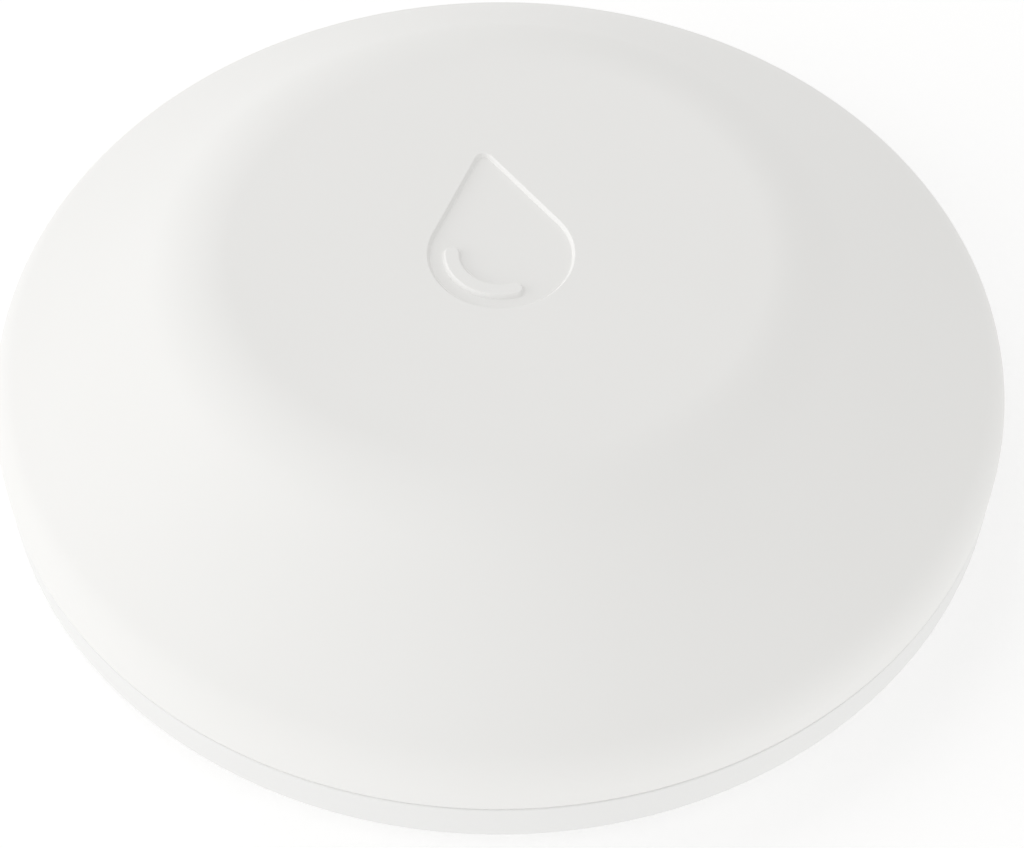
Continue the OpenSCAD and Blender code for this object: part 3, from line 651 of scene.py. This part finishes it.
def addPosts(work, look, high, low):
    # screw posts that end inside the cover's wall
    blendCentre, _, slope = coverSection(coverLook, low, high)
    normal = (sin(radians(slope)), cos(radians(slope)))
    level = normal[0] * blendCentre[0] + normal[1] * blendCentre[1] + coverLook["blendRadius"]
    level -= coverLook["wall"] / 2
    for direction in look["directions"]:
        centre = onCircle((0, 0), look["ring"], direction)
        outer = arc(centre, look["radius"], 0, 360, look["steps"])[:-1]
        inner = arc(centre, look["hole"], 0, 360, look["steps"])[:-1]
        top = [work.verts.new((x * mm, y * mm, (level - normal[0] * hypot(x, y)) / normal[1] * mm))
               for x, y in outer]
        work.faces.new(top)
        loop = top
        for points, height in ((outer, look["lowHeight"]), (inner, look["lowHeight"]),
                               (inner, look["holeHeight"])):
            follow = ringVerts(work, points, height)
            bridge(work, loop, follow)
            loop = follow
        work.faces.new(loop)


def buildCover():
    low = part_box("top_cover")[0].z / mm
    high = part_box("top_cover")[1].z / mm
    profile = coverProfile(coverLook, low, high)
    piece = turnPiece("cover_shell", profile, coverLook["segments"], "cover_plastic")
    work = bmesh.new()
    work.from_mesh(piece.data)
    addDrop(work, dropLook, high)
    bmesh.ops.remove_doubles(work, verts=work.verts, dist=mergeReach)
    addPosts(work, postLook, high, low)
    work.to_mesh(piece.data)
    work.free()
    finishPiece(piece, "housing", "cover_plastic", "top_cover", coverLook["sharpAngle"])


buildCover()
print("cover built")


# Softened copies of CAD nodes: the rims between a flat at a given height and upright walls are rounded
softLook = {
    "steps": 4,
    "levelReach": 2e-6,
    "uprightLean": 0.1,
    "rimShare": 0.16,
    "cornerLimit": 0.3,
}


def flatIslands(work, height):
    reach = softLook["levelReach"]
    flats = {face for face in work.faces if all(abs(v.co.z - height * mm) < reach for v in face.verts)}
    while flats:
        todo = [flats.pop()]
        island = set(todo)
        while todo:
            face = todo.pop()
            for edge in face.edges:
                for other in edge.link_faces:
                    if other in flats:
                        flats.remove(other)
                        island.add(other)
                        todo.append(other)
        yield island


def islandLoops(island):
    # ordered rims of a flat, each with the flat on its left
    follow = {}
    walls = {}
    for face in island:
        for corner in face.loops:
            others = [f for f in corner.edge.link_faces if f not in island]
            if others:
                follow[corner.vert] = corner.link_loop_next.vert
                walls[corner.vert] = others[0]
    while follow:
        first = next(iter(follow))
        loop = [first]
        while follow[loop[-1]] is not first:
            loop.append(follow[loop[-1]])
        for vert in loop:
            follow.pop(vert)
        yield loop, [walls[vert] for vert in loop]


def roundRim(work, loop, facing, radius, steps):
    count = len(loop)
    spots = [vert.co.copy() for vert in loop]
    inward = []
    for i in range(count):
        sides = []
        for a, b in ((spots[i - 1], spots[i]), (spots[i], spots[(i + 1) % count])):
            sides.append(Vector((0, 0, facing)).cross(b - a).normalized())
        inward.append((sides[0] + sides[1]) / max(softLook["cornerLimit"], 1 + sides[0].dot(sides[1])))
    rim = loop
    for k in range(steps + 1):
        angle = radians(90 * k / steps)
        drop = Vector((0, 0, -facing * radius * (1 - sin(angle))))
        places = [spots[i] + inward[i] * radius * (1 - cos(angle)) + drop for i in range(count)]
        if k == 0:
            for vert, place in zip(loop, places):
                vert.co = place
            continue
        outer = [work.verts.new(place) for place in places]
        bridge(work, rim, outer)
        rim = outer
    return rim


def softenFlats(work, height, radius):
    for island in list(flatIslands(work, height)):
        facing = 1 if sum(face.normal.z for face in island) > 0 else -1
        rims = []
        for loop, walls in list(islandLoops(island)):
            upright = all(abs(wall.normal.z) < softLook["uprightLean"] for wall in walls)
            behind = all((wall.calc_center_median().z - height * mm) * facing < 0 for wall in walls)
            middle = sum((vert.co for vert in loop), Vector()) / len(loop)
            size = sum((vert.co - middle).length for vert in loop) / len(loop)
            rounding = min(radius * mm, softLook["rimShare"] * size)
            rims.append((loop, rounding if upright and behind else 0))
        bmesh.ops.delete(work, geom=list(island), context="FACES")
        edges = []
        for loop, rounding in rims:
            rim = roundRim(work, loop, facing, rounding, softLook["steps"]) if rounding else loop
            edges += loopEdges(work, rim)
        bmesh.ops.triangle_fill(work, use_beauty=True, edges=edges)


def softCopy(node, name, body, slot, flats):
    # flats lists the height and the rounding of each flat, in millimetres
    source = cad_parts[node].data
    corners = [vert.co for vert in source.vertices]
    faces = [face.vertices[:] for face in source.polygons]
    mesh = bpy.data.meshes.new(name)  # bare faces, without the node's stored normals
    mesh.from_pydata(corners, [], faces)
    mesh.materials.append(materials[slot])
    piece = bpy.data.objects.new(name, mesh)
    bpy.context.scene.collection.objects.link(piece)
    work = bmesh.new()
    work.from_mesh(mesh)
    bmesh.ops.remove_doubles(work, verts=work.verts, dist=mergeReach)
    bmesh.ops.recalc_face_normals(work, faces=work.faces)
    for height, rounding in flats:
        softenFlats(work, height, rounding)
    work.to_mesh(mesh)
    work.free()
    finishPiece(piece, body, slot, node)


baseLook = {
    "underHeight": 0.5,
    "underRound": 0.25,
    "shoulderHeight": 3.85,
    "shoulderRound": 0.13,
}
doorLook = {"underHeight": 0.5, "underRound": 0.2}
buttonLook = {"faceHeight": 0.7, "faceRound": 0.12}
screwLook = {"headHeight": 0.8, "headRound": 0.05}

softCopy("base", "base_tray", "housing", "base_plastic", [
    (baseLook["underHeight"], baseLook["underRound"]),
    (baseLook["shoulderHeight"], baseLook["shoulderRound"])])
softCopy("battery_door", "battery_lid", "door", "base_plastic", [
    (doorLook["underHeight"], doorLook["underRound"])])
softCopy("setup_button", "button_cap", "button", "button_plastic", [
    (buttonLook["faceHeight"], buttonLook["faceRound"])])
softCopy("cover_screws", "case_screws", "housing", "screw_steel", [
    (screwLook["headHeight"], screwLook["headRound"])])
print("base, door, button and screws built")

# Feet and probes, turned once and set round the underside
footLook = {
    "radius": 3.0,
    "height": 1.1,
    "edgeRound": 0.35,
    "edgeSteps": 10,
    "topRound": 0.1,
    "topSteps": 4,
    "grooveRadius": 1.9,
    "grooveWidth": 0.5,
    "grooveSteps": 12,
    "count": 3,
    "ring": 27.2,
    "startAngle": 30,
    "segments": 96,
}
probeLook = {
    "headRadius": 2.2,
    "headLow": 0.1,
    "headTop": 0.5,
    "edgeRound": 0.22,
    "edgeSteps": 8,
    "dishRadius": 1.2,
    "dishSlope": 0.12,
    "dishDepth": 0.05,
    "shankRadius": 1.0,
    "shankTop": 4.5,
    "shankBevel": 0.1,
    "pipRadius": 0.75,
    "pipTop": 5.3,
    "pipRound": 0.2,
    "pipSteps": 4,
    "places": 6,
    "skipEvery": 3,
    "startAngle": 60,
    "segments": 96,
    "sharpAngle": 30,
}
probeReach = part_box("sensing_probes")[1].y / mm - probeLook["headRadius"]
probeRing = probeReach / sin(radians(probeLook["startAngle"]))


def buildFeet(look):
    edge = look["edgeRound"]
    top = look["topRound"]
    profile = [(0, 0)]
    profile += arc((look["grooveRadius"], 0), look["grooveWidth"] / 2, 180, 0, look["grooveSteps"])
    profile += arc((look["radius"] - edge, edge), edge, 270, 360, look["edgeSteps"])
    profile += arc((look["radius"] - top, look["height"] - top), top, 0, 90, look["topSteps"])
    profile += [(0, look["height"])]
    foot = turnPiece("foot", profile, look["segments"], "foot_rubber")
    feet = ringPiece("feet_soft", foot, look["count"], look["ring"], look["startAngle"], "foot_rubber")
    finishPiece(feet, "housing", "foot_rubber", "feet")


def ringProbes(name, piece, slot):
    # four of six even places
    return ringPiece(name, piece, probeLook["places"], probeRing, probeLook["startAngle"], slot,
                     probeLook["skipEvery"])


def buildProbes(look):
    low = look["headLow"]
    dish = low + look["dishDepth"]
    edge = look["edgeRound"]
    shank = look["shankRadius"]
    bevel = look["shankBevel"]
    pip = look["pipRound"]
    profile = [(0, dish), (look["dishRadius"], dish), (look["dishRadius"] + look["dishSlope"], low)]
    profile += arc((look["headRadius"] - edge, low + edge), edge, 270, 360, look["edgeSteps"])
    profile += [(look["headRadius"], look["headTop"]), (shank, look["headTop"])]
    profile += [(shank, look["shankTop"] - bevel), (shank - bevel, look["shankTop"])]
    profile += [(look["pipRadius"], look["shankTop"]), (look["pipRadius"], look["pipTop"] - pip)]
    profile += arc((look["pipRadius"] - pip, look["pipTop"] - pip), pip, 0, 90, look["pipSteps"])[1:]
    profile += [(0, look["pipTop"])]
    probe = turnPiece("probe", profile, look["segments"], "probe_gold")
    probes = ringProbes("probe_studs", probe, "probe_gold")
    finishPiece(probes, "housing", "probe_gold", "sensing_probes", look["sharpAngle"])


buildFeet(footLook)
buildProbes(probeLook)
print("feet and probes built")

# Seals, each a turned cord
sealLook = {
    "cordSteps": 24,
    "segments": 192,
    "probeRadius": 1.375,
    "probeHeight": 0.9,
    "probeCord": 0.7,
}


def sealCord(name, radius, height, cord, slot):
    profile = arc((radius, height), cord / 2, 0, 360, sealLook["cordSteps"])[:-1]
    return turnPiece(name, profile, sealLook["segments"], slot, closed=True)


def buildSeal(node, name, body, slot):
    low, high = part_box(node)
    cord = (high.z - low.z) / mm
    radius = (high.x - low.x) / 2 / mm - cord / 2
    piece = sealCord(name, radius, (high.z + low.z) / 2 / mm, cord, slot)
    middle = (low + high) / 2
    middle.z = 0
    for vert in piece.data.vertices:
        vert.co += middle
    finishPiece(piece, body, slot, node)


buildSeal("housing_seal", "case_cord", "housing", "pale_silicone")
buildSeal("door_seal", "door_cord", "door", "pale_silicone")
buildSeal("button_seal", "button_cord", "button", "dark_rubber")
probeCord = sealCord("probe_cord", sealLook["probeRadius"], sealLook["probeHeight"], sealLook["probeCord"],
                     "dark_rubber")
probeCords = ringProbes("probe_cords", probeCord, "dark_rubber")
finishPiece(probeCords, "housing", "dark_rubber", "probe_seals")
print("seals built")

# Springs above the probes
springLook = {
    "turns": 3,
    "radius": 1.05,
    "wire": 0.2,
    "low": 4.55,
    "high": 8.15,
    "steps": 40,
    "wireSteps": 12,
}


def buildSprings(look):
    coil = runTree(coiled, "coil", {
        "Turns": look["turns"], "Coil Radius": look["radius"] * mm, "Wire Radius": look["wire"] * mm,
        "Rise": (look["high"] - look["low"] - 2 * look["wire"]) * mm,
        "Low Height": (look["low"] + look["wire"]) * mm, "Steps": look["steps"],
        "Wire Steps": look["wireSteps"], "Material": materials["spring_steel"]})
    springs = ringProbes("contact_springs", coil, "spring_steel")
    finishPiece(springs, "housing", "spring_steel", "probe_springs")


buildSprings(springLook)

# Coin cell: a drawn can with a crimped edge and a raised cap
cellLook = {
    "radius": 12.25,
    "canRound": 0.4,
    "canSteps": 10,
    "crimp": 0.6,
    "crimpSteps": 12,
    "groove": 0.1,
    "capInset": 1.5,
    "capHeight": 0.3,
    "capRound": 0.2,
    "capLean": 0.05,
    "capSteps": 8,
    "segments": 192,
    "sharpAngle": 30,
}


def buildCell(look):
    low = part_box("coin_cell")[0].z / mm
    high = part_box("coin_cell")[1].z / mm
    rim = high - look["capHeight"]
    can = look["canRound"]
    crimp = look["crimp"]
    groove = look["groove"]
    cap = look["capRound"]
    capRadius = look["radius"] - look["capInset"]
    profile = [(0, low)]
    profile += arc((look["radius"] - can, low + can), can, 270, 360, look["canSteps"])
    profile += arc((look["radius"] - crimp, rim - crimp), crimp, 0, 90, look["crimpSteps"])
    profile += [(capRadius + 2 * groove, rim), (capRadius + groove, rim - groove), (capRadius, rim - groove)]
    profile += arc((capRadius - look["capLean"] - cap, high - cap), cap, 0, 90, look["capSteps"])
    profile += [(0, high)]
    piece = turnPiece("cell_can", profile, look["segments"], "cell_steel")
    finishPiece(piece, "cell", "cell_steel", "coin_cell", look["sharpAngle"])


buildCell(cellLook)
print("springs and cell built")

# Chip parts on the board: rows of bodies, each between two metal ends
chipLook = {
    "resistors": {
        "slot": "chip_black",
        "rows": [{"at": (-8.8, -16.6), "size": (0.8, 1.6, 0.5), "pitch": 2.2, "count": 6, "end": 0.3}],
        "rounding": 0.05,
        "inset": 0.03,
    },
    "capacitors": {
        "slot": "capacitor_tan",
        "rows": [{"at": (-6.5, -13), "size": (1.2, 2, 1), "pitch": 2.6, "count": 4, "end": 0.4},
                 {"at": (11, -10), "size": (4.3, 7.3, 2.6), "pitch": 0, "count": 1, "end": 1.3}],
        "rounding": 0.1,
        "inset": 0.04,
    },
}
blockLook = {"bevelSteps": 3, "bevelProfile": 0.5}


def roundBlocks(name, boxes, rounding):
    work = bmesh.new()
    for low, high in boxes:
        block = bmesh.ops.create_cube(work, size=mm)["verts"]
        bmesh.ops.scale(work, verts=block, vec=[b - a for a, b in zip(low, high)])
        bmesh.ops.translate(work, verts=block, vec=[(a + b) / 2 * mm for a, b in zip(low, high)])
    bmesh.ops.bevel(work, geom=work.edges[:], offset=rounding * mm, segments=blockLook["bevelSteps"],
                    profile=blockLook["bevelProfile"], affect="EDGES")
    mesh = bpy.data.meshes.new(name)
    work.to_mesh(mesh)
    work.free()
    piece = bpy.data.objects.new(name, mesh)
    bpy.context.scene.collection.objects.link(piece)
    return piece


def chipRow(name, boxes, row, foot, rounding, slot):
    x, y = row["at"]
    block = roundBlocks("block", boxes, rounding)
    block.data.materials.append(materials[slot])
    piece = runTree(rowed, name, {
        "Piece": block, "Count": row["count"], "Start": (x * mm, y * mm, foot * mm),
        "Step": (row["pitch"] * mm, 0, 0), "Material": materials[slot]})
    bpy.data.objects.remove(block)
    return piece


def joinPieces(pieces):
    work = bmesh.new()
    for piece in pieces:
        work.from_mesh(piece.data)
    work.to_mesh(pieces[0].data)
    work.free()
    for piece in pieces[1:]:
        bpy.data.objects.remove(piece)
    return pieces[0]


def buildChips(node, look):
    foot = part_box(node)[0].z / mm
    inset = look["inset"]
    bodies = []
    ends = []
    for row in look["rows"]:
        width, length, high = row["size"]
        x = width / 2
        y = length / 2
        inner = y - row["end"]
        body = [((inset - x, -y + inset, 0), (x - inset, y - inset, high - inset))]
        caps = [((-x, -y, 0), (x, -inner, high)), ((-x, inner, 0), (x, y, high))]
        bodies.append(chipRow(node + "_bodies", body, row, foot, look["rounding"], look["slot"]))
        ends.append(chipRow(node + "_ends", caps, row, foot, look["rounding"], "shield_tin"))
    finishPiece(joinPieces(bodies), "housing", look["slot"], node)
    finishPiece(joinPieces(ends), "housing", "shield_tin")


for node, look in chipLook.items():
    buildChips(node, look)

# Inner nodes with softened upper edges: the copy's name, its finish and the rounding
softTops = {
    "radio_shield": ("shield_can", "shield_tin", 0.25),
    "controller_chip": ("controller_block", "chip_black", 0.08),
    "crystal": ("crystal_can", "shield_tin", 0.2),
    "buzzer": ("buzzer_can", "chip_black", 0.3),
    "switch_body": ("switch_block", "chip_black", 0.15),
    "board_screws": ("board_bolts", "screw_steel", 0.06),
    "status_led": ("lamp_block", "lamp_resin", 0.1),
    "light_guide": ("guide_plate", "milky_acrylic", 0.1),
}
for node, (name, slot, rounding) in softTops.items():
    softCopy(node, name, "housing", slot, [(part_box(node)[1].z / mm, rounding)])
plungerLook = {"lowHeight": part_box("switch_plunger")[0].z / mm, "lowRound": 0.12}
softCopy("switch_plunger", "plunger_pin", "button", "plunger_plastic", [
    (plungerLook["lowHeight"], plungerLook["lowRound"])])
print("chip parts and inner blocks built")

# Inner nodes kept as they are, with their finishes
kept = {
    "circuit_board": "board_laminate",
    "radio_module": "radio_laminate",
    "antenna": "shield_tin",
    "buzzer_gasket": "gasket_foam",
    "sound_membrane": "membrane_film",
    "positive_contact": "spring_steel",
    "negative_contact": "spring_steel",
}
for node, slot in kept.items():
    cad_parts[node].data.materials.clear()
    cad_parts[node].data.materials.append(materials[slot])
print("inner nodes finished:", len(kept))

# Plain pale floor and soft light from the photo's left
stageLook = {
    "floorSize": 1300,
    "floorTone": 0.82,
    "floorGlow": 0.29,
    "worldLevel": 0.705,
    "worldColor": (1, 0.997, 0.99, 1),
    "backLevel": 1.0,
    "backColor": (1, 1, 1, 1),
}
# The two bounce lamps stand for the light that a pale floor throws back
lampLooks = {
    "left_panel": {
        "power": 2.5, "distance": 1000, "azimuth": 177.6, "elevation": 11, "size": (1100, 360)},
    "left_high": {
        "power": 0.9, "distance": 1000, "azimuth": 177.6, "elevation": 35, "size": (900, 700)},
    "front_panel": {
        "power": 1.5, "distance": 1000, "azimuth": 257.6, "elevation": 8, "size": (1100, 360)},
    "back_panel": {
        "power": 1.35, "distance": 1000, "azimuth": 107.6, "elevation": 45, "size": (800, 700)},
    "right_bounce": {
        "power": 1.6, "distance": 1000, "azimuth": 337.6, "elevation": -8, "size": (1300, 200)},
    "floor_bounce": {
        "power": 4.2, "distance": 500, "azimuth": 0, "elevation": -90, "size": (3000, 3000)},
}


def seenRays(tree):
    # rays that show the background: straight from the camera, mirrored, or through glass
    path = addNode(tree, "ShaderNodeLightPath", {}).outputs
    glossy = addNode(tree, "ShaderNodeMath", {"Value": path["Is Glossy Ray"],
                                              "Value_001": path["Is Transmission Ray"]}, operation="MAXIMUM")
    seen = addNode(tree, "ShaderNodeMath", {"Value": path["Is Camera Ray"], "Value_001": glossy.outputs[0]},
                   operation="MAXIMUM")
    return seen.outputs[0]


def buildFloor(look):
    half = look["floorSize"] / 2 * mm
    corners = [(-half, -half, 0), (half, -half, 0), (half, half, 0), (-half, half, 0)]
    mesh = bpy.data.meshes.new("floor")
    mesh.from_pydata(corners, [], [(0, 1, 2, 3)])
    floor = bpy.data.objects.new("floor", mesh)
    bpy.context.scene.collection.objects.link(floor)
    material = bpy.data.materials.new("floor_pale")
    material.use_nodes = True
    tree = material.node_tree
    tree.nodes.clear()
    tone = look["floorTone"]
    pale = addNode(tree, "ShaderNodeBsdfDiffuse", {"Color": (tone, tone, tone, 1)})
    glow = addNode(tree, "ShaderNodeEmission", {"Strength": look["floorGlow"]})
    white = addNode(tree, "ShaderNodeAddShader", {"Shader": pale.outputs[0], "Shader_001": glow.outputs[0]})
    clear = addNode(tree, "ShaderNodeBsdfTransparent", {})
    top = addNode(tree, "ShaderNodeMixShader", {"Fac": seenRays(tree), "Shader": clear.outputs[0],
                                                "Shader_001": white.outputs[0]})
    side = addNode(tree, "ShaderNodeNewGeometry", {}).outputs["Backfacing"]
    both = addNode(tree, "ShaderNodeMixShader", {"Fac": side, "Shader": top.outputs[0],
                                                 "Shader_001": clear.outputs[0]})
    end = tree.nodes.new("ShaderNodeOutputMaterial")
    tree.links.new(both.outputs[0], end.inputs["Surface"])
    mesh.materials.append(material)


def buildWorld(look):
    world = bpy.data.worlds.new("studio")
    world.use_nodes = True
    tree = world.node_tree
    tree.nodes.clear()
    soft = addNode(tree, "ShaderNodeBackground", {"Strength": look["worldLevel"],
                                                  "Color": look["worldColor"]})
    white = addNode(tree, "ShaderNodeBackground", {"Strength": look["backLevel"],
                                                   "Color": look["backColor"]})
    both = addNode(tree, "ShaderNodeMixShader", {"Fac": seenRays(tree), "Shader": soft.outputs[0],
                                                 "Shader_001": white.outputs[0]})
    end = tree.nodes.new("ShaderNodeOutputWorld")
    tree.links.new(both.outputs[0], end.inputs["Surface"])
    bpy.context.scene.world = world


def buildLamp(name, look):
    data = bpy.data.lights.new(name, "AREA")
    data.shape = "RECTANGLE"
    data.size = look["size"][0] * mm
    data.size_y = look["size"][1] * mm
    data.energy = look["power"]
    lamp = bpy.data.objects.new(name, data)
    bpy.context.scene.collection.objects.link(lamp)
    azimuth = radians(look["azimuth"])
    elevation = radians(look["elevation"])
    away = Vector((cos(azimuth) * cos(elevation), sin(azimuth) * cos(elevation), sin(elevation)))
    lamp.location = away * look["distance"] * mm
    lamp.rotation_euler = (-away).to_track_quat("-Z", "Y").to_euler()
    lamp.visible_camera = False


buildFloor(stageLook)
buildWorld(stageLook)
for name, look in lampLooks.items():
    buildLamp(name, look)
bpy.context.scene.view_settings.view_transform = "Standard"
print("floor and light set")
